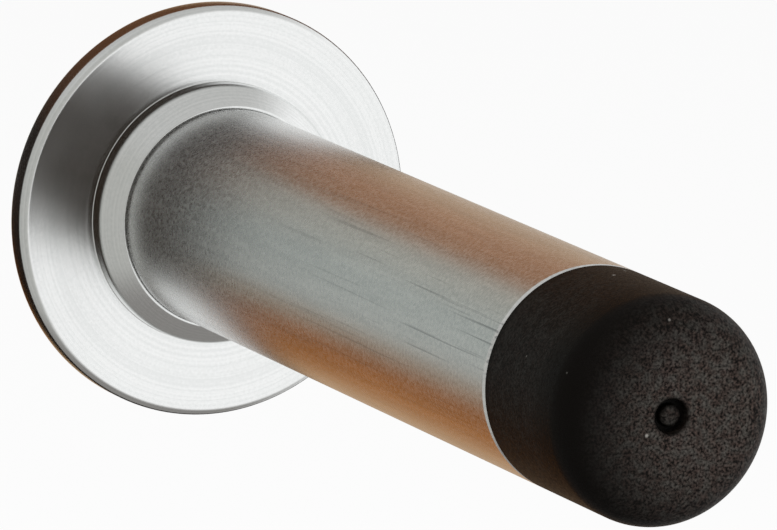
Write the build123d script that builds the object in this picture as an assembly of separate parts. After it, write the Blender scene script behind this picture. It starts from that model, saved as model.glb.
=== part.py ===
# Wall door stop: a rubber buffer on an aluminium stem, which stands in a round rose on the wall.
# Millimetres. The wall is the XZ plane, the stop reaches out along -Y, and +Z is up.
import math
import os

from build123d import *

PROJECTION = 100.0

ROSE_DIAMETER = 38.0
ROSE_THICKNESS = 2.6
ROSE_FRONT_CHAMFER = 0.5
ROSE_BACK_CHAMFER = 0.3
ROSE_RIM_WIDTH = 4.0
ROSE_RELIEF_DEPTH = 0.6

HUB_WALL = 2.0
HUB_STEP_HEIGHT = 1.6
HUB_SLOPE_HEIGHT = 1.6
HUB_LAND = 0.2

STEM_DIAMETER = 20.0
STEM_SEAT_DEPTH = 3.3
STEM_FOOT_CHAMFER = 0.3
STEM_TIP_CHAMFER = 0.3
SPIGOT_DIAMETER = 12.0
SPIGOT_SETBACK = 0.9
SPIGOT_CHAMFER = 0.5

BUFFER_LENGTH = 16.0
BUFFER_FACE_RADIUS = 3.0
BUFFER_SEAM_CHAMFER = 0.3
GATE_RECESS_DIAMETER = 3.0
GATE_RECESS_DEPTH = 1.0
GATE_RECESS_CHAMFER = 0.2
GATE_STUB_DIAMETER = 1.9
GATE_STUB_HEIGHT = 0.7

PLUG_DIAMETER = 10.0
PLUG_LENGTH = 11.0
PLUG_BARB_HEIGHT = 0.6
PLUG_BARBS = 3
PLUG_BARB_LAND = 0.4
SOCKET_SPARE_DEPTH = 1.5
SOCKET_MOUTH_CHAMFER = 0.5

BOLT_DIAMETER = 6.0
BOLT_GRIP = 16.0
BOLT_END_CHAMFER = 0.7
BOLT_SHANK_DIAMETER = 5.0
BOLT_SHANK_PAST_WALL = 3.0
WOOD_SCREW_DIAMETER = 6.0
WOOD_SCREW_REACH = 28.0
WOOD_SCREW_POINT = 6.0
TAPPED_SPARE_DEPTH = 4.0
TAPPED_MOUTH_CHAMFER = 0.6

FIT_CLEARANCE = 0.05
DRILL_POINT_ANGLE = 118.0

# Distances out from the wall at which one piece seats on the next.
HUB_SHOULDER = ROSE_THICKNESS + HUB_STEP_HEIGHT
HUB_TOP = HUB_SHOULDER + HUB_SLOPE_HEIGHT
STEM_SEAT = HUB_TOP - STEM_SEAT_DEPTH
SEAM = PROJECTION - BUFFER_LENGTH


def at(radius, out):
    """The point in the half section that lies this far from the axis and this far out from the wall."""
    return Vector(radius, -out)


def section(*corners):
    """The closed half section through these (radius, out) corners."""
    return make_face(Polyline(*[at(*corner) for corner in corners], close=True))


def corner_of(profile, radius, out):
    """The half section's own corner at this place."""
    return profile.vertices().sort_by_distance(at(radius, out))[0]


def turned(profile):
    """The solid of revolution of a half section about the stop's axis."""
    return revolve(profile, Axis.Y)


def drill_point(radius):
    """The depth of the cone that a twist drill of this radius leaves at the bottom of its hole."""
    return radius / math.tan(math.radians(DRILL_POINT_ANGLE / 2))


def make_rose():
    """The base disc: a rim that bears on the wall, a sloped hub and a stepped bore for the stem."""
    edge = ROSE_DIAMETER / 2
    rim = edge - ROSE_RIM_WIDTH
    seat = STEM_DIAMETER / 2 + FIT_CLEARANCE
    hub = STEM_DIAMETER / 2 + HUB_WALL
    bore = SPIGOT_DIAMETER / 2 + FIT_CLEARANCE
    profile = section(
        (rim, 0),
        (edge, 0),
        (edge, ROSE_THICKNESS),
        (hub, ROSE_THICKNESS),
        (hub, HUB_SHOULDER),
        (seat + HUB_LAND, HUB_TOP),
        (seat, HUB_TOP),
        (seat, STEM_SEAT),
        (bore, STEM_SEAT),
        (bore, ROSE_RELIEF_DEPTH),
        (rim, ROSE_RELIEF_DEPTH),
    )
    profile = chamfer(corner_of(profile, edge, ROSE_THICKNESS), ROSE_FRONT_CHAMFER)
    profile = chamfer(corner_of(profile, edge, 0), ROSE_BACK_CHAMFER)
    return turned(profile)


def make_stem():
    """The bar, with a spigot for the rose, a tapped hole at the foot and a drilled socket at the tip."""
    side = STEM_DIAMETER / 2
    spigot = SPIGOT_DIAMETER / 2
    tapped = BOLT_DIAMETER / 2 + FIT_CLEARANCE
    tapped_end = SPIGOT_SETBACK + BOLT_GRIP + TAPPED_SPARE_DEPTH
    socket = PLUG_DIAMETER / 2 + FIT_CLEARANCE
    socket_end = SEAM - PLUG_LENGTH - SOCKET_SPARE_DEPTH
    profile = section(
        (tapped, SPIGOT_SETBACK),
        (spigot, SPIGOT_SETBACK),
        (spigot, STEM_SEAT),
        (side, STEM_SEAT),
        (side, SEAM),
        (socket, SEAM),
        (socket, socket_end),
        (0, socket_end - drill_point(socket)),
        (0, tapped_end + drill_point(tapped)),
        (tapped, tapped_end),
    )
    profile = chamfer(corner_of(profile, tapped, SPIGOT_SETBACK), TAPPED_MOUTH_CHAMFER)
    profile = chamfer(corner_of(profile, spigot, SPIGOT_SETBACK), SPIGOT_CHAMFER)
    profile = chamfer(corner_of(profile, side, STEM_SEAT), STEM_FOOT_CHAMFER)
    profile = chamfer(corner_of(profile, side, SEAM), STEM_TIP_CHAMFER)
    profile = chamfer(corner_of(profile, socket, SEAM), SOCKET_MOUTH_CHAMFER)
    return turned(profile)


def plug_corners():
    """The barbed plug's outline from its neck to its end: each barb is a step, a land and a taper."""
    crest = PLUG_DIAMETER / 2
    root = crest - PLUG_BARB_HEIGHT
    pitch = PLUG_LENGTH / (PLUG_BARBS + 1)
    corners = [(root, SEAM)]
    for barb in range(1, PLUG_BARBS + 1):
        step = SEAM - barb * pitch
        corners += [(root, step), (crest, step), (crest, step - PLUG_BARB_LAND)]
    return corners + [(root, SEAM - PLUG_LENGTH)]


def make_buffer():
    """The rubber end: a head flush with the stem, a moulding gate in its face and a barbed plug."""
    side = STEM_DIAMETER / 2
    recess = GATE_RECESS_DIAMETER / 2
    recess_floor = PROJECTION - GATE_RECESS_DEPTH
    stub = GATE_STUB_DIAMETER / 2
    stub_top = recess_floor + GATE_STUB_HEIGHT
    profile = section(
        (0, stub_top),
        (stub, stub_top),
        (stub, recess_floor),
        (recess, recess_floor),
        (recess, PROJECTION),
        (side, PROJECTION),
        (side, SEAM),
        *plug_corners(),
        (0, SEAM - PLUG_LENGTH),
    )
    profile = chamfer(corner_of(profile, recess, PROJECTION), GATE_RECESS_CHAMFER)
    profile = fillet(corner_of(profile, side, PROJECTION), BUFFER_FACE_RADIUS)
    profile = chamfer(corner_of(profile, side, SEAM), BUFFER_SEAM_CHAMFER)
    return turned(profile)


def make_hanger_bolt():
    """The double-ended screw: machine thread in the stem, plain shank, wood screw in the wall."""
    machine = BOLT_DIAMETER / 2
    shank = BOLT_SHANK_DIAMETER / 2
    wood = WOOD_SCREW_DIAMETER / 2
    grip_end = SPIGOT_SETBACK + BOLT_GRIP
    grip_start = SPIGOT_SETBACK + TAPPED_MOUTH_CHAMFER
    profile = section(
        (0, grip_end),
        (machine, grip_end),
        (machine, grip_start),
        (shank, grip_start),
        (shank, -BOLT_SHANK_PAST_WALL),
        (wood, -BOLT_SHANK_PAST_WALL),
        (wood, WOOD_SCREW_POINT - WOOD_SCREW_REACH),
        (0, -WOOD_SCREW_REACH),
    )
    profile = chamfer(corner_of(profile, machine, grip_end), BOLT_END_CHAMFER)
    return turned(profile)


os.makedirs("parts", exist_ok=True)
export_step(make_rose(), "parts/rose.step")
export_step(make_stem(), "parts/stem.step")
export_step(make_buffer(), "parts/buffer.step")
export_step(make_hanger_bolt(), "parts/hanger_bolt.step")
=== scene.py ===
import math

import bmesh
import bpy
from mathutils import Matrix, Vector, noise


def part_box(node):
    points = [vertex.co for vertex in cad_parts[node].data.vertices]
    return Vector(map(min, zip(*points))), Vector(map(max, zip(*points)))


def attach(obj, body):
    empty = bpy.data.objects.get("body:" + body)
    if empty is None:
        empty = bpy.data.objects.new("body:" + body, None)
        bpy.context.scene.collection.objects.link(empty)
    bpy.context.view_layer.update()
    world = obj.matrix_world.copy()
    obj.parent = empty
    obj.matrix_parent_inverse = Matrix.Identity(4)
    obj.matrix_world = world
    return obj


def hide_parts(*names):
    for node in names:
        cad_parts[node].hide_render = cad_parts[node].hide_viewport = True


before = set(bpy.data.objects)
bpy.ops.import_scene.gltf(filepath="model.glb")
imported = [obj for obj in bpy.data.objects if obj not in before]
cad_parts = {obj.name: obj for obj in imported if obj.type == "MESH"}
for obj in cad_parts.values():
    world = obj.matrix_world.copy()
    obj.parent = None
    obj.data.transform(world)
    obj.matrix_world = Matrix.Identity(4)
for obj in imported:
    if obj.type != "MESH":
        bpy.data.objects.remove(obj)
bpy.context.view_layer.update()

# The rose is the round base that bears on the wall. It is turned from aluminium bar, so fine rings
# run round its face, and its sloped hub is bored out to take the foot of the stem.

# The pieces' sizes are in mm, and a SCALE is a number of spots to the metre.
MM = 0.001


def reach(node):
    """A node's radius, and how far out from the wall it starts and ends, in mm."""
    low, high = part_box(node)
    return high.x / MM, -high.y / MM, -low.y / MM


ROSE_RADIUS, WALL, HUB_TOP = reach("rose")
STEM_RADIUS, SPIGOT_END, SEAM = reach("stem")
ROSE_THICKNESS = 2.6
ROSE_RIM_WIDTH = 4.0
ROSE_RELIEF_DEPTH = 0.6
ROSE_CHAMFER = 0.5
ROSE_EDGE_ROUND = 0.28
ROSE_BACK_ROUND = 0.3
HUB_WALL = 2.0
HUB_STEP_HEIGHT = 1.6
HUB_ROOT_ROUND = 0.06
HUB_SHOULDER_ROUND = 0.5
HUB_LAND = 0.24
HUB_LAND_ROUND = 0.1
STEM_FIT = 0.01
STEM_SEAT_DEPTH = 3.3
SPIGOT_RADIUS = 6.0
FIT_CLEARANCE = 0.05
STEM_SEAT = HUB_TOP - STEM_SEAT_DEPTH
LATHE_STEPS = 256
WELD = 2e-6
SHARP_ANGLE = math.radians(35)
# A rounding has this many steps, and as many again for each millimetre of its size.
ROUND_STEPS = 4


def half_section(corners, closed):
    """A turned piece's outline. A corner is (radius, out from the wall) and its rounding, if it has one."""
    outline = bmesh.new()
    points = [outline.verts.new((radius * MM, -out * MM, 0)) for radius, out, *_ in corners]
    for start, end in zip(points, points[1:]):
        outline.edges.new((start, end))
    if closed:
        outline.edges.new((points[-1], points[0]))
    for point, (_, _, *rounding) in zip(points, corners):
        if rounding:
            bmesh.ops.bevel(
                outline,
                geom=[point],
                offset=rounding[0] * MM,
                offset_type='OFFSET',
                segments=ROUND_STEPS + math.ceil(ROUND_STEPS * rounding[0]),
                profile=0.5,
                affect='VERTICES',
                material=-1,
            )
    return outline


def turned(*corners):
    """The closed body that turning these corners about the stop's axis gives."""
    body = half_section(corners, closed=corners[0][0] > 0)
    bmesh.ops.spin(
        body,
        geom=body.verts[:] + body.edges[:],
        cent=(0, 0, 0),
        axis=(0, 1, 0),
        angle=math.tau,
        steps=LATHE_STEPS,
        use_merge=True,
    )
    bmesh.ops.remove_doubles(body, verts=body.verts, dist=WELD)
    bmesh.ops.recalc_face_normals(body, faces=body.faces)
    return body


def linked_piece(name, shape, material):
    """The shape as an object of the scene, with its material."""
    mesh = bpy.data.meshes.new(name)
    shape.to_mesh(mesh)
    shape.free()
    mesh.materials.append(material)
    piece = bpy.data.objects.new(name, mesh)
    bpy.context.scene.collection.objects.link(piece)
    return piece


def finished(name, shape, material, node):
    """The finished piece, which stands for the CAD node, rides on the stop and has the record's finish."""
    piece = linked_piece(name, shape, material)
    piece.data.shade_smooth()
    piece.data.set_sharp_from_angle(angle=SHARP_ANGLE)
    normals = piece.modifiers.new("flat faces stay flat", 'WEIGHTED_NORMAL')
    normals.keep_sharp = True
    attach(piece, "root")
    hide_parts(node)


def new_finish(name):
    """An empty procedural finish: its node tree, its shader and the place on the piece."""
    material = bpy.data.materials.new(name)
    material.use_nodes = True
    tree = material.node_tree
    place = tree.nodes.new('ShaderNodeTexCoord').outputs['Object']
    return material, tree, tree.nodes['Principled BSDF'], place


def add_node(tree, kind, inputs=(), **settings):
    """A node with these settings; each input is (socket, value) or (socket, another node's output)."""
    node = tree.nodes.new(kind)
    for key, value in settings.items():
        setattr(node, key, value)
    for socket, value in inputs:
        if isinstance(value, bpy.types.NodeSocket):
            tree.links.new(value, node.inputs[socket])
        else:
            node.inputs[socket].default_value = value
    return node


def spots(tree, place, scale, detail, dimensions='3D'):
    """An uneven pattern with this many spots to a unit of length."""
    return add_node(
        tree,
        'ShaderNodeTexNoise',
        [('Vector', place), ('Scale', scale), ('Detail', detail)],
        noise_dimensions=dimensions,
    ).outputs[0]


def spread(tree, value, low, high, start=0.0, end=1.0, smooth=False):
    """A value spread out, so that low becomes start and high becomes end."""
    return add_node(
        tree,
        'ShaderNodeMapRange',
        [('Value', value), (1, low), (2, high), (3, start), (4, end)],
        interpolation_type='SMOOTHSTEP' if smooth else 'LINEAR',
    ).outputs[0]


def reckon(tree, operation, *values):
    """The result of a sum on these values."""
    return add_node(tree, 'ShaderNodeMath', list(enumerate(values)), operation=operation).outputs[0]


def mottle(tree, shade, grain, amount):
    """A shade made uneven by a grain, which lightens it as much as it darkens it."""
    return reckon(tree, 'MULTIPLY_ADD', grain, amount, reckon(tree, 'SUBTRACT', shade, amount / 2))


def tone(tree, share, *colours):
    """The mix of two colours, each of them a named colour or another node's output."""
    first, second = [(*colour, 1) if isinstance(colour, tuple) else colour for colour in colours]
    return add_node(
        tree, 'ShaderNodeMix', [(0, share), (6, first), (7, second)], data_type='RGBA'
    ).outputs[2]


def lean(tree, place, way):
    """How far a place or a direction lies this way."""
    return add_node(
        tree, 'ShaderNodeVectorMath', [(0, place), (1, way)], operation='DOT_PRODUCT'
    ).outputs['Value']


def from_axis(tree, place):
    """The distance of a place from the stop's axis, in mm."""
    across = add_node(
        tree, 'ShaderNodeVectorMath', [(0, place), (1, (1 / MM, 0, 1 / MM))], operation='MULTIPLY'
    ).outputs[0]
    return add_node(tree, 'ShaderNodeVectorMath', [(0, across)], operation='LENGTH').outputs['Value']


def coat(tree, shader, colour, dullness, relief, strength, height):
    """Gives a finish its colour, its dullness and its fine relief of this height in mm."""
    bump = add_node(
        tree, 'ShaderNodeBump', [('Strength', strength), ('Distance', height * MM), ('Height', relief)]
    )
    tree.links.new(colour, shader.inputs['Base Color'])
    tree.links.new(dullness, shader.inputs['Roughness'])
    tree.links.new(bump.outputs[0], shader.inputs['Normal'])


QUARTER_TURN = 0.25


def draw_gloss(tree, shader, place, amount):
    """Draws the gloss out at a right angle to the way round the stop's axis."""
    way_round = add_node(
        tree, 'ShaderNodeVectorMath', [(0, (0, 1, 0)), (1, place)], operation='CROSS_PRODUCT'
    )
    tree.links.new(way_round.outputs[0], shader.inputs['Tangent'])
    shader.inputs['Anisotropic'].default_value = amount
    shader.inputs['Anisotropic Rotation'].default_value = QUARTER_TURN


# Most values of an uneven pattern lie between these two.
PATTERN_LOW = 0.3
PATTERN_HIGH = 0.7
OUT = (0.0, -1 / MM, 0.0)
TURNED_DARK = (0.815, 0.83, 0.825)
TURNED_LIGHT = (0.895, 0.905, 0.90)
TURNED_CLEAR = 0.17
TURNED_DULL = 0.23
TURNED_GLOSS_DRAW = 0.3
FINE_RINGS_TO_MM = 5.2
BROAD_RINGS_TO_MM = 4.8
TURNED_GRAIN_SCALE = 3400.0
TURNED_GRAIN_SHADE = 2.0
TURNED_GRAIN_RELIEF = 0.8
TURNED_MARKS_SCALE = 140.0
METAL_RELIEF = 0.10
METAL_RELIEF_HEIGHT = 0.02


def turned_aluminium():
    """Turned aluminium: rings left by the tool, their shade slightly uneven, and a soft clear face."""
    material, tree, shader, place = new_finish("turned_aluminium")
    ring = add_node(
        tree, 'ShaderNodeCombineXYZ', [('X', from_axis(tree, place)), ('Y', lean(tree, place, OUT))]
    ).outputs[0]
    fine_rings = spots(tree, ring, FINE_RINGS_TO_MM, detail=2.0, dimensions='2D')
    broad_rings = spots(tree, ring, BROAD_RINGS_TO_MM, detail=2.0, dimensions='2D')
    grain = spots(tree, place, TURNED_GRAIN_SCALE, detail=2.0)
    marks = spots(tree, place, TURNED_MARKS_SCALE, detail=5.0)
    ring_shade = spread(tree, broad_rings, PATTERN_LOW, PATTERN_HIGH)
    mottled = mottle(tree, ring_shade, grain, TURNED_GRAIN_SHADE)
    colour = tone(tree, mottled, TURNED_DARK, TURNED_LIGHT)
    dullness = spread(tree, marks, PATTERN_LOW, PATTERN_HIGH, TURNED_CLEAR, TURNED_DULL)
    relief = reckon(tree, 'MULTIPLY_ADD', grain, TURNED_GRAIN_RELIEF, fine_rings)
    coat(tree, shader, colour, dullness, relief, METAL_RELIEF, METAL_RELIEF_HEIGHT)
    draw_gloss(tree, shader, place, TURNED_GLOSS_DRAW)
    shader.inputs['Metallic'].default_value = 1.0
    return material


rose = turned(
    (ROSE_RADIUS - ROSE_RIM_WIDTH, WALL),
    (ROSE_RADIUS, WALL, ROSE_BACK_ROUND),
    (ROSE_RADIUS, ROSE_THICKNESS - ROSE_CHAMFER, ROSE_EDGE_ROUND),
    (ROSE_RADIUS - ROSE_CHAMFER, ROSE_THICKNESS, ROSE_EDGE_ROUND),
    (STEM_RADIUS + HUB_WALL, ROSE_THICKNESS, HUB_ROOT_ROUND),
    (STEM_RADIUS + HUB_WALL, ROSE_THICKNESS + HUB_STEP_HEIGHT, HUB_SHOULDER_ROUND),
    (STEM_RADIUS + STEM_FIT + HUB_LAND, HUB_TOP, HUB_LAND_ROUND),
    (STEM_RADIUS + STEM_FIT, HUB_TOP, HUB_LAND_ROUND),
    (STEM_RADIUS + STEM_FIT, STEM_SEAT),
    (SPIGOT_RADIUS + FIT_CLEARANCE, STEM_SEAT),
    (SPIGOT_RADIUS + FIT_CLEARANCE, ROSE_RELIEF_DEPTH),
    (ROSE_RADIUS - ROSE_RIM_WIDTH, ROSE_RELIEF_DEPTH),
)
finished("rose_turned", rose, turned_aluminium(), "rose")

# The hanger bolt is a zinc-plated steel screw with two ends. Its machine thread is screwed into the
# stem, and its wood screw thread is driven into the wall through the rose.
BOLT_RADIUS, BOLT_POINT, BOLT_END = reach("hanger_bolt")
BOLT_END_RADIUS = 2.2
BOLT_END_CHAMFER = 0.5
BOLT_END_ROUND = 0.15
SHANK_RADIUS = 2.5
SHANK_PAST_WALL = 3.0
SHANK_ROUND = 0.4
THREAD_STEPS = 64
TAPPED_CHAMFER = 0.6
MACHINE_START = SPIGOT_END + TAPPED_CHAMFER
MACHINE_ROOT = 2.45
MACHINE_PITCH = 1.0
MACHINE_FLAT = 0.14
MACHINE_TURNS = 14
MACHINE_SUNK = 0.8
MACHINE_RUN_OUT = 0.8
WOOD_CORE_RADIUS = 1.95
WOOD_NECK_LENGTH = 1.2
WOOD_CORE_POINT = 7.0
WOOD_BARE_TIP = 1.0
WOOD_START = BOLT_POINT + WOOD_BARE_TIP
WOOD_ROOT = 1.9
WOOD_PITCH = 2.6
WOOD_FLAT = 0.2
WOOD_TURNS = 9
WOOD_SUNK = 0.6
WOOD_THREAD_POINT = 6.0
WOOD_TIP_SHARE = 0.02
ZINC_BLUE = (0.56, 0.60, 0.64)
ZINC_YELLOW = (0.74, 0.72, 0.62)
ZINC_BRIGHT = 0.24
ZINC_DULL = 0.42
ZINC_CLOUD_SCALE = 260.0
ZINC_GRIT_SCALE = 4200.0
ZINC_RELIEF = 0.15


def thread(crest, root, pitch, flat, start, turns):
    """A rolled helical ridge: one V of the thread, swept along the bolt from start, out from the wall."""
    rise = (pitch - flat) / 2
    gap = rise / 4
    corners = [
        (root, start),
        (root, start + gap),
        (crest, start + rise),
        (crest, start + rise + flat),
        (root, start + pitch - gap),
        (root, start + pitch),
    ]
    ridge = half_section(corners, closed=False)
    bmesh.ops.spin(
        ridge,
        geom=ridge.verts[:] + ridge.edges[:],
        cent=(0, 0, 0),
        axis=(0, 1, 0),
        dvec=(0, -pitch * MM / THREAD_STEPS, 0),
        angle=math.tau * turns,
        steps=THREAD_STEPS * turns,
    )
    bmesh.ops.remove_doubles(ridge, verts=ridge.verts, dist=WELD)
    bmesh.ops.recalc_face_normals(ridge, faces=ridge.faces)
    return ridge


def draw_in(ridge, share_at):
    """Draws a ridge in towards the axis by the share that holds at each distance out from the wall."""
    for vert in ridge.verts:
        share = share_at(-vert.co.y / MM)
        vert.co.x *= share
        vert.co.z *= share


def machine_share(out):
    """The machine thread sinks into the bolt at both of its ends."""
    from_end = min(BOLT_END - out, out - MACHINE_START)
    return min(1.0, MACHINE_SUNK + (1 - MACHINE_SUNK) * from_end / MACHINE_RUN_OUT)


def wood_share(out):
    """The wood screw thread runs down to the point, and sinks into the shank at its other end."""
    from_point = (out - BOLT_POINT) / WOOD_THREAD_POINT
    from_shank = WOOD_SUNK + (1 - WOOD_SUNK) * (-SHANK_PAST_WALL - out) / WOOD_NECK_LENGTH
    return max(WOOD_TIP_SHARE, min(1.0, from_point, from_shank))


def joined(*shapes):
    """One shape that holds all these shapes."""
    whole = bmesh.new()
    for shape in shapes:
        mesh = bpy.data.meshes.new("joined")
        shape.to_mesh(mesh)
        shape.free()
        whole.from_mesh(mesh)
        bpy.data.meshes.remove(mesh)
    return whole


def zinc_plate():
    """Bright zinc plate: a faintly blue and yellow film, a cloudy gloss and a fine grit."""
    material, tree, shader, place = new_finish("zinc_plate")
    cloud = spots(tree, place, ZINC_CLOUD_SCALE, detail=4.0)
    grit = spots(tree, place, ZINC_GRIT_SCALE, detail=2.0)
    colour = tone(tree, cloud, ZINC_BLUE, ZINC_YELLOW)
    dullness = spread(tree, cloud, PATTERN_LOW, PATTERN_HIGH, ZINC_BRIGHT, ZINC_DULL)
    coat(tree, shader, colour, dullness, grit, ZINC_RELIEF, METAL_RELIEF_HEIGHT)
    shader.inputs['Metallic'].default_value = 1.0
    return material


core = turned(
    (0, BOLT_END),
    (BOLT_END_RADIUS, BOLT_END, BOLT_END_ROUND),
    (SHANK_RADIUS, BOLT_END - BOLT_END_CHAMFER, BOLT_END_ROUND),
    (SHANK_RADIUS, -SHANK_PAST_WALL, SHANK_ROUND),
    (WOOD_CORE_RADIUS, -SHANK_PAST_WALL - WOOD_NECK_LENGTH, SHANK_ROUND),
    (WOOD_CORE_RADIUS, BOLT_POINT + WOOD_CORE_POINT, SHANK_ROUND),
    (0, BOLT_POINT),
)
machine_thread = thread(
    BOLT_RADIUS, MACHINE_ROOT, MACHINE_PITCH, MACHINE_FLAT, MACHINE_START, MACHINE_TURNS
)
draw_in(machine_thread, machine_share)
wood_thread = thread(BOLT_RADIUS, WOOD_ROOT, WOOD_PITCH, WOOD_FLAT, WOOD_START, WOOD_TURNS)
draw_in(wood_thread, wood_share)
hanger_bolt = joined(core, machine_thread, wood_thread)
finished("hanger_bolt_threaded", hanger_bolt, zinc_plate(), "hanger_bolt")

# The stem is a length of satin aluminium bar. It stands in the rose on a turned spigot, is drawn down
# by the hanger bolt, and its outer end is drilled for the buffer's plug.
_, PLUG_END, PROJECTION = reach("buffer")
SPIGOT_CHAMFER = 0.5
STEM_CHAMFER = 0.3
STEM_TIP_ROUND = 0.12
TAPPED_RADIUS = BOLT_RADIUS + FIT_CLEARANCE
TAPPED_SPARE_DEPTH = 4.0
TAPPED_END = BOLT_END + TAPPED_SPARE_DEPTH
PLUG_RADIUS = 5.0
SOCKET_RADIUS = PLUG_RADIUS + FIT_CLEARANCE
SOCKET_SPARE_DEPTH = 1.5
SOCKET_END = PLUG_END - SOCKET_SPARE_DEPTH
SOCKET_CHAMFER = 0.5
DRILL_POINT_ANGLE = 118.0
DRILL_SLOPE = math.tan(math.radians(DRILL_POINT_ANGLE / 2))
SATIN_DARK = (0.74, 0.75, 0.75)
SATIN_LIGHT = (0.94, 0.94, 0.93)
SCORED_TONE = (0.36, 0.37, 0.38)
SATIN_CLEAR = 0.24
SATIN_DULL = 0.31
SATIN_GLOSS_DRAW = 0.5
STREAK_SCALE = 3600.0
STREAK_DRAW = 0.006
STREAK_RELIEF = 0.08
LINE_SCALE = 1300.0
LINE_DRAW = 0.06
LINE_DARK = 0.25
LINE_LIGHT = 0.75
SATIN_GRAIN_SCALE = 3000.0
SATIN_GRAIN_SHADE = 2.4
SCORE_SCALE = 2400.0
SCORE_DRAW = 0.013
SCORE_FAINT = 0.60
SCORE_CLEAR = 0.69
SCORED_EVERYWHERE = 0.12
SCORED_NEAR_TIP = 0.65
SCORED_FROM = 35.0
SCORED_FULLY_FROM = 70.0
HANDLED_SIDE = (-0.9 / MM, 0.0, 0.43 / MM)
HANDLED_FROM = 6.0
HANDLED_FULLY_FROM = 9.2


def drawn_out(tree, place, share):
    """A place whose pattern is drawn out along the bar."""
    return add_node(tree, 'ShaderNodeMapping', [('Vector', place), ('Scale', (1, share, 1))]).outputs[0]


def satin_aluminium():
    """Satin aluminium bar: a fine grain, lines drawn along the bar, and scores where it is handled."""
    material, tree, shader, place = new_finish("satin_aluminium")
    streak = spots(tree, drawn_out(tree, place, STREAK_DRAW), STREAK_SCALE, detail=3.0)
    line = spots(tree, drawn_out(tree, place, LINE_DRAW), LINE_SCALE, detail=3.0)
    score = spots(tree, drawn_out(tree, place, SCORE_DRAW), SCORE_SCALE, detail=2.0)
    grain = spots(tree, place, SATIN_GRAIN_SCALE, detail=2.0)
    line_shade = spread(tree, line, PATTERN_LOW, PATTERN_HIGH, LINE_DARK, LINE_LIGHT)
    mottled = mottle(tree, line_shade, grain, SATIN_GRAIN_SHADE)
    satin = tone(tree, mottled, SATIN_DARK, SATIN_LIGHT)
    out = lean(tree, place, OUT)
    near_tip = spread(tree, out, SCORED_FROM, SCORED_FULLY_FROM, 0.0, SCORED_NEAR_TIP)
    handled = spread(tree, lean(tree, place, HANDLED_SIDE), HANDLED_FROM, HANDLED_FULLY_FROM)
    scuffed = reckon(tree, 'MULTIPLY_ADD', near_tip, handled, SCORED_EVERYWHERE)
    scored = spread(tree, score, SCORE_FAINT, SCORE_CLEAR, 0.0, scuffed)
    colour = tone(tree, scored, satin, SCORED_TONE)
    dullness = spread(tree, grain, PATTERN_LOW, PATTERN_HIGH, SATIN_CLEAR, SATIN_DULL)
    relief = reckon(tree, 'MULTIPLY_ADD', streak, STREAK_RELIEF, grain)
    coat(tree, shader, colour, dullness, relief, METAL_RELIEF, METAL_RELIEF_HEIGHT)
    draw_gloss(tree, shader, place, SATIN_GLOSS_DRAW)
    shader.inputs['Metallic'].default_value = 1.0
    return material


stem = turned(
    (0, TAPPED_END + TAPPED_RADIUS / DRILL_SLOPE),
    (TAPPED_RADIUS, TAPPED_END),
    (TAPPED_RADIUS, SPIGOT_END + TAPPED_CHAMFER),
    (TAPPED_RADIUS + TAPPED_CHAMFER, SPIGOT_END),
    (SPIGOT_RADIUS - SPIGOT_CHAMFER, SPIGOT_END),
    (SPIGOT_RADIUS, SPIGOT_END + SPIGOT_CHAMFER),
    (SPIGOT_RADIUS, STEM_SEAT),
    (STEM_RADIUS - STEM_CHAMFER, STEM_SEAT),
    (STEM_RADIUS, STEM_SEAT + STEM_CHAMFER),
    (STEM_RADIUS, SEAM - STEM_CHAMFER, STEM_TIP_ROUND),
    (STEM_RADIUS - STEM_CHAMFER, SEAM, STEM_TIP_ROUND),
    (SOCKET_RADIUS + SOCKET_CHAMFER, SEAM),
    (SOCKET_RADIUS, SEAM - SOCKET_CHAMFER),
    (SOCKET_RADIUS, SOCKET_END),
    (0, SOCKET_END - SOCKET_RADIUS / DRILL_SLOPE),
)
finished("stem_satin", stem, satin_aluminium(), "stem")

# The buffer is moulded black rubber. Its head is flush with the stem and takes the door, its barbed
# plug is pushed into the stem, and the torn stub of the moulding gate stands in a small recess.
BUFFER_FACE_ROUND = 3.0
BUFFER_SEAM_ROUND = 0.3
GATE_RADIUS = 1.5
GATE_ROUND = 0.2
GATE_DEPTH = 1.0
GATE_FLOOR = PROJECTION - GATE_DEPTH
STUB_RADIUS = 0.95
STUB_ROUND = 0.12
STUB_HEIGHT = 0.7
STUB_SAG = 0.1
STUB_TOP = GATE_FLOOR + STUB_HEIGHT
TORN_SCALE = 2600.0
TORN_HEIGHT = 0.22
BARB_HEIGHT = 0.6
BARB_ROOT = PLUG_RADIUS - BARB_HEIGHT
BARB_LAND = 0.4
BARBS = 3
BARB_PITCH = (SEAM - PLUG_END) / (BARBS + 1)
RUBBER_BLACK = (0.0022, 0.0016, 0.0012)
BLOOM_BROWN = (0.072, 0.051, 0.043)
BLOOM_GREY = (0.067, 0.061, 0.054)
DUST_TONE = (0.25, 0.24, 0.22)
RUBBER_SMOOTH = 0.42
RUBBER_DULL = 0.60
RUBBER_SHEEN = 0.07
RUBBER_RELIEF = 0.5
RUBBER_RELIEF_HEIGHT = 0.07
PEBBLE_SCALE = 3600.0
BLOOM_GRAIN_SCALE = 4200.0
BLOOM_PATCH_SCALE = 1100.0
BLOOM_PATCH_SHARE = 0.4
BLOOM_THIN = 0.56
BLOOM_THICK = 0.90
BLOOM_TINT_LOW = 0.4
BLOOM_TINT_HIGH = 0.6
# The bloom's middle lies off to the right of the axis: painted light, which makes the right of the face
# lighter.
BLOOM_AND_LIGHT_MIDDLE = (-3.8 * MM, 0.0, 0.3 * MM)
BLOOM_EDGE_RADIUS = 12.8
BLOOM_FULL_RADIUS = 3.5
BLOOM_ON_STUB = 0.5
BLOOM_ON_SIDE = 0.16
GATE_CLEAN_RADIUS = GATE_RADIUS - 0.1
GATE_BLOOM_RADIUS = GATE_RADIUS + 0.4
STUB_CLEAN_RADIUS = STUB_RADIUS - 0.05
STUB_BLOOM_RADIUS = STUB_RADIUS - 0.35
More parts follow.
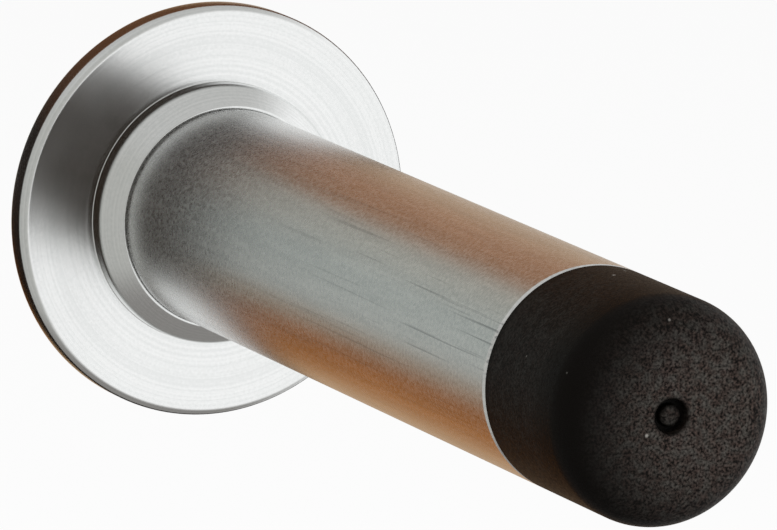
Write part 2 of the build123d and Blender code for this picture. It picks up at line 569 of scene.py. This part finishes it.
# The side bloom stops short of the rounded edge, which stays black as painted shade.
BARE_EDGE_AS_SHADE = PROJECTION - BUFFER_FACE_ROUND
SIDE_BLOOM = PROJECTION - 7.5
SEAM_CLEAN = SEAM + 0.2
SEAM_BLOOM = SEAM + 1.2
DUST_SCALE = 460.0
DUST_SHARE = 0.14
SPECK_EDGE = 0.10
SPECK_MIDDLE = 0.03


def moulded_rubber():
    """Black rubber with a few specks of dust and a grey bloom whose spread holds painted light: its middle
    is set off to the right, so the right of the face is lighter and a crescent of painted shade stays black
    along the left edge, and on the side the bloom is thinner, which paints the side darker.
    """
    material, tree, shader, place = new_finish("moulded_rubber")
    radius = from_axis(tree, place)
    out = lean(tree, place, OUT)
    grain = spots(tree, place, BLOOM_GRAIN_SCALE, detail=3.0)
    patch = spots(tree, place, BLOOM_PATCH_SCALE, detail=3.0)
    pebble = spots(tree, place, PEBBLE_SCALE, detail=3.0)
    dust = add_node(tree, 'ShaderNodeTexVoronoi', [('Vector', place), ('Scale', DUST_SCALE)])
    lot = add_node(tree, 'ShaderNodeSeparateColor', [(0, dust.outputs['Color'])]).outputs[0]
    few = reckon(tree, 'GREATER_THAN', lot, 1 - DUST_SHARE)
    speck = spread(tree, dust.outputs['Distance'], SPECK_EDGE, SPECK_MIDDLE)
    dusty = reckon(tree, 'MULTIPLY', few, speck)
    # Painted light: the bloom is centred to the right of the axis, so the face is lighter on the right and
    # stays black along the left edge as painted shade.
    bloom_and_light_place = add_node(tree, 'ShaderNodeMapping', [('Vector', place), ('Location', BLOOM_AND_LIGHT_MIDDLE)]).outputs[0]
    on_face = spread(tree, from_axis(tree, bloom_and_light_place), BLOOM_EDGE_RADIUS, BLOOM_FULL_RADIUS, smooth=True)
    round_gate = spread(tree, radius, GATE_CLEAN_RADIUS, GATE_BLOOM_RADIUS, smooth=True)
    on_stub = spread(tree, radius, STUB_CLEAN_RADIUS, STUB_BLOOM_RADIUS, 0.0, BLOOM_ON_STUB, smooth=True)
    off_gate = reckon(tree, 'MAXIMUM', round_gate, on_stub)
    face_bloom_and_light = reckon(tree, 'MULTIPLY', on_face, off_gate)
    # The thinner bloom on the side paints the side darker than the face, as painted shade.
    on_side = spread(tree, out, BARE_EDGE_AS_SHADE, SIDE_BLOOM, 0.0, BLOOM_ON_SIDE, smooth=True)
    off_seam = spread(tree, out, SEAM_CLEAN, SEAM_BLOOM, smooth=True)
    side_bloom_and_shade = reckon(tree, 'MULTIPLY', on_side, off_seam)
    bloom_and_light_spread = reckon(tree, 'MAXIMUM', face_bloom_and_light, side_bloom_and_shade)
    uneven = reckon(tree, 'MULTIPLY_ADD', patch, BLOOM_PATCH_SHARE, grain)
    bloom = reckon(tree, 'MULTIPLY', bloom_and_light_spread, spread(tree, uneven, BLOOM_THIN, BLOOM_THICK))
    tint = spread(tree, patch, BLOOM_TINT_LOW, BLOOM_TINT_HIGH)
    bloom_tone = tone(tree, tint, BLOOM_BROWN, BLOOM_GREY)
    skin = tone(tree, bloom, RUBBER_BLACK, bloom_tone)
    colour = tone(tree, dusty, skin, DUST_TONE)
    dullness = spread(tree, pebble, PATTERN_LOW, PATTERN_HIGH, RUBBER_SMOOTH, RUBBER_DULL)
    coat(tree, shader, colour, dullness, pebble, RUBBER_RELIEF, RUBBER_RELIEF_HEIGHT)
    shader.inputs['Specular IOR Level'].default_value = RUBBER_SHEEN
    return material


def plug_corners():
    """The barbed plug's outline from its neck to its end: each barb is a step, a land and a taper."""
    corners = [(BARB_ROOT, SEAM)]
    for barb in range(1, BARBS + 1):
        step = SEAM - barb * BARB_PITCH
        corners += [(BARB_ROOT, step), (PLUG_RADIUS, step), (PLUG_RADIUS, step - BARB_LAND)]
    return corners + [(BARB_ROOT, PLUG_END)]


buffer = turned(
    (0, STUB_TOP),
    (STUB_RADIUS / 2, STUB_TOP),
    (STUB_RADIUS, STUB_TOP - STUB_SAG, STUB_ROUND),
    (STUB_RADIUS, GATE_FLOOR, STUB_ROUND),
    (GATE_RADIUS, GATE_FLOOR),
    (GATE_RADIUS, PROJECTION, GATE_ROUND),
    (STEM_RADIUS, PROJECTION, BUFFER_FACE_ROUND),
    (STEM_RADIUS, SEAM, BUFFER_SEAM_ROUND),
    *plug_corners(),
    (0, PLUG_END),
)
for vert in buffer.verts:
    inside_gate = vert.co.xz.length < GATE_RADIUS * MM
    at_stub_top = -vert.co.y > (STUB_TOP - STUB_HEIGHT / 2) * MM
    if inside_gate and at_stub_top:
        vert.co.y += noise.noise(vert.co * TORN_SCALE) * TORN_HEIGHT * MM
finished("buffer_moulded", buffer, moulded_rubber(), "buffer")

# The floor is a plain pale sheet below the stop. It reads as the white background and still takes the
# stop's shadow, and the polished metal doesn't mirror it. Like the lamp and the camera, it is placed
# in metres.
FLOOR_SIZE = 6.0
FLOOR_DROP = 0.08
FLOOR_GREY = (0.9, 0.9, 0.9, 1)
FLOOR_WHITE_SHARE = 0.85
WHITE = (1.0, 1.0, 1.0)


def plain_surface(tree, shader, surface):
    """Puts a plain surface in the place of a finish's own shader."""
    tree.nodes.remove(shader)
    tree.links.new(surface.outputs[0], tree.nodes['Material Output'].inputs['Surface'])


def pale_floor():
    """A matt floor that looks nearly white to the camera."""
    material, tree, shader, _ = new_finish("pale_floor")
    seen = tree.nodes.new('ShaderNodeLightPath').outputs['Is Camera Ray']
    share = reckon(tree, 'MULTIPLY', seen, FLOOR_WHITE_SHARE)
    matt = add_node(tree, 'ShaderNodeBsdfDiffuse', [('Color', FLOOR_GREY)]).outputs[0]
    white = add_node(tree, 'ShaderNodeEmission', [('Color', (*WHITE, 1))]).outputs[0]
    mixed = add_node(tree, 'ShaderNodeMixShader', [(0, share), (1, matt), (2, white)])
    plain_surface(tree, shader, mixed)
    return material


ground = bmesh.new()
bmesh.ops.create_grid(ground, x_segments=1, y_segments=1, size=FLOOR_SIZE)
bmesh.ops.translate(ground, vec=(0, 0, -FLOOR_DROP), verts=ground.verts)
floor = linked_piece("floor", ground, pale_floor())
floor.visible_glossy = False

# The wall shade is a flat ring close behind the rim of the rose. It glows with painted shade that stands
# for the shaded wall, darker below than above and warmer towards the top as a painted reflection, and only
# polished metal sees it.
SHADE_GAP = 0.3
SHADE_WIDTH = 4.7
SHADE_SETBACK = 0.6
SHADE_THICKNESS = 0.1
SHADE_INNER_RADIUS = ROSE_RADIUS + SHADE_GAP
SHADE_OUTER_RADIUS = SHADE_INNER_RADIUS + SHADE_WIDTH
SHADE_FRONT = WALL - SHADE_SETBACK
SHADE_BACK = SHADE_FRONT - SHADE_THICKNESS
SHADE_LOW_TONE = (0.012, 0.008, 0.006)
SHADE_HIGH_TONE = (0.12, 0.048, 0.018)
SHADE_LOW = 9.0
SHADE_HIGH = 22.0
UP = (0.0, 0.0, 1 / MM)


def shaded_wall():
    """A glowing ring of painted shade, darker below, with a painted warm reflection that is lighter towards
    the top.
    """
    material, tree, shader, place = new_finish("shaded_wall")
    # Painted shade and a painted warm reflection, shown by glowing, lighter and warmer towards the top.
    height = spread(tree, lean(tree, place, UP), SHADE_LOW, SHADE_HIGH)
    painted_rim_shade = tone(tree, height, SHADE_LOW_TONE, SHADE_HIGH_TONE)
    plain_surface(tree, shader, add_node(tree, 'ShaderNodeEmission', [('Color', painted_rim_shade)]))
    return material


shade_ring = turned(
    (SHADE_INNER_RADIUS, SHADE_FRONT),
    (SHADE_OUTER_RADIUS, SHADE_FRONT),
    (SHADE_OUTER_RADIUS, SHADE_BACK),
    (SHADE_INNER_RADIUS, SHADE_BACK),
)
wall_shade = linked_piece("wall_shade", shade_ring, shaded_wall())
wall_shade.visible_camera = False
wall_shade.visible_diffuse = False
wall_shade.visible_shadow = False
wall_shade.visible_transmission = False

# The room is what the polished metal mirrors: white ahead of the stop, grey to the left, overhead and
# below, and warm tones behind it that follow each other round a dial. A dark place ahead shows only in
# light that the metal has mirrored twice. Matt surfaces are lit by an even grey.
EVEN_LIGHT = (0.62, 0.62, 0.62)
LEFT_TONE = (0.47, 0.47, 0.45)
OVERHEAD_TONE = (0.54, 0.54, 0.53)
BELOW_TONE = (0.26, 0.25, 0.24)
DARK_TONE = (0.014, 0.006, 0.001)
DIAL_MIDDLE = (-0.903, 0.0, 0.429)
DIAL_THREE_QUARTERS = (0.429, 0.0, 0.903)
DIAL_TONES = [
    (0.0, (0.60, 0.50, 0.40)),
    (0.10, (0.56, 0.37, 0.21)),
    (0.20, (0.37, 0.135, 0.025)),
    (0.28, (0.25, 0.075, 0.005)),
    (0.34, (0.29, 0.23, 0.17)),
    (0.39, (0.38, 0.40, 0.38)),
    (0.50, (0.36, 0.39, 0.37)),
    (0.62, (0.35, 0.35, 0.31)),
    (0.69, (0.26, 0.115, 0.045)),
    (0.76, (0.34, 0.16, 0.075)),
    (0.86, (0.42, 0.28, 0.17)),
    (1.0, (0.60, 0.52, 0.43)),
]
LEFT_WAY = (-0.91, 0.0, 0.414)
BACK_WAY = (0.0, 1.0, 0.0)
UP_WAY = (0.0, 0.0, 1.0)
DARK_WAY = (-0.78, 0.0, 0.63)
# Each of these starts at the first share of its way and is full at the second.
LEFT_EDGE = (-0.25, 0.15)
OVERHEAD_EDGE = (0.40, 0.80)
BELOW_EDGE = (-0.55, -0.90)
AHEAD_EDGE = (-0.38, -0.58)
DARK_EDGE = (-0.26, 0.06)
BEHIND_EDGE = (0.60, 0.78)
# The ray depth is one more than the number of times that light was mirrored.
ONCE_MIRRORED = 2.5

room = bpy.data.worlds.new("room")
room.use_nodes = True
bpy.context.scene.world = room
light = room.node_tree
ray = light.nodes.new('ShaderNodeLightPath')
towards = light.nodes.new('ShaderNodeTexCoord').outputs['Generated']
dial_face = add_node(
    light,
    'ShaderNodeCombineXYZ',
    [('X', lean(light, towards, DIAL_MIDDLE)), ('Y', lean(light, towards, DIAL_THREE_QUARTERS))],
).outputs[0]
dial = add_node(light, 'ShaderNodeTexGradient', [('Vector', dial_face)], gradient_type='RADIAL')
dial_ramp = add_node(light, 'ShaderNodeValToRGB', [('Fac', dial.outputs['Fac'])])
dial_ramp.color_ramp.interpolation = 'EASE'
dial_marks = dial_ramp.color_ramp.elements
for position, _ in DIAL_TONES[1:-1]:
    dial_marks.new(position)
for mark, (_, colour) in zip(dial_marks, DIAL_TONES):
    mark.color = (*colour, 1)

backwards = lean(light, towards, BACK_WAY)
upwards = lean(light, towards, UP_WAY)
left = spread(light, lean(light, towards, LEFT_WAY), *LEFT_EDGE, smooth=True)
overhead = spread(light, upwards, *OVERHEAD_EDGE, smooth=True)
below = spread(light, upwards, *BELOW_EDGE, smooth=True)
ahead = spread(light, backwards, *AHEAD_EDGE, smooth=True)
aside = spread(light, lean(light, towards, DARK_WAY), *DARK_EDGE, smooth=True)
behind = spread(light, backwards, *BEHIND_EDGE)
twice_mirrored = reckon(light, 'GREATER_THAN', ray.outputs['Ray Depth'], ONCE_MIRRORED)
dark = reckon(light, 'MULTIPLY', reckon(light, 'MULTIPLY', aside, ahead), twice_mirrored)

sides = tone(light, left, WHITE, LEFT_TONE)
roofed = tone(light, overhead, sides, OVERHEAD_TONE)
floored = tone(light, below, roofed, BELOW_TONE)
darkened = tone(light, dark, floored, DARK_TONE)
mirrored = tone(light, behind, darkened, dial_ramp.outputs[0])
cast = tone(light, ray.outputs['Is Glossy Ray'], EVEN_LIGHT, mirrored)
straight = reckon(light, 'MAXIMUM', ray.outputs['Is Camera Ray'], ray.outputs['Is Transmission Ray'])
backdrop = tone(light, straight, cast, WHITE)
light.links.new(backdrop, light.nodes['Background'].inputs['Color'])

# The soft box is a round lamp in front of the stop, high on the left. It gives the rubber its soft
# light and the floor its shadow, and the polished metal doesn't mirror it.
SOFT_BOX_SIZE = 0.8
SOFT_BOX_POWER = 11.0
SOFT_BOX_PLACE = Vector((-0.55, -0.75, 0.85))
SOFT_BOX_AIM = Vector((0.0, -0.05, 0.0))
lamp = bpy.data.lights.new("soft_box", 'AREA')
lamp.shape = 'DISK'
lamp.size = SOFT_BOX_SIZE
lamp.energy = SOFT_BOX_POWER
soft_box = bpy.data.objects.new("soft_box", lamp)
soft_box.visible_glossy = False
soft_box.location = SOFT_BOX_PLACE
soft_box.rotation_euler = (SOFT_BOX_AIM - SOFT_BOX_PLACE).to_track_quat('-Z', 'Y').to_euler()
bpy.context.scene.collection.objects.link(soft_box)

# The camera looks at the stop from the left, in front and a little above, as in the photograph. It
# stands far off with a long lens, and aims near the middle of the stem.
AZIMUTH = math.radians(-23.98)
ELEVATION = math.radians(11.39)
FOCAL_LENGTH = 545.1
CAMERA_DISTANCE = 1.034
AIM_OUT = 45.0
AIM_RIGHT = -1.36
AIM_UP = 2.77
CLIP_NEAR = 0.01
back = Vector((
    math.sin(AZIMUTH) * math.cos(ELEVATION),
    -math.cos(AZIMUTH) * math.cos(ELEVATION),
    math.sin(ELEVATION),
))
right = Vector((math.cos(AZIMUTH), math.sin(AZIMUTH), 0))
above = back.cross(right)
aim = Vector((0, -AIM_OUT * MM, 0)) + right * AIM_RIGHT * MM + above * AIM_UP * MM
lens = bpy.data.cameras.new("camera")
lens.lens = FOCAL_LENGTH
lens.clip_start = CLIP_NEAR
camera = bpy.data.objects.new("camera", lens)
camera.location = aim + back * CAMERA_DISTANCE
camera.rotation_euler = (-back).to_track_quat('-Z', 'Y').to_euler()
bpy.context.scene.collection.objects.link(camera)
bpy.context.scene.camera = camera
bpy.context.scene.view_settings.view_transform = 'Standard'
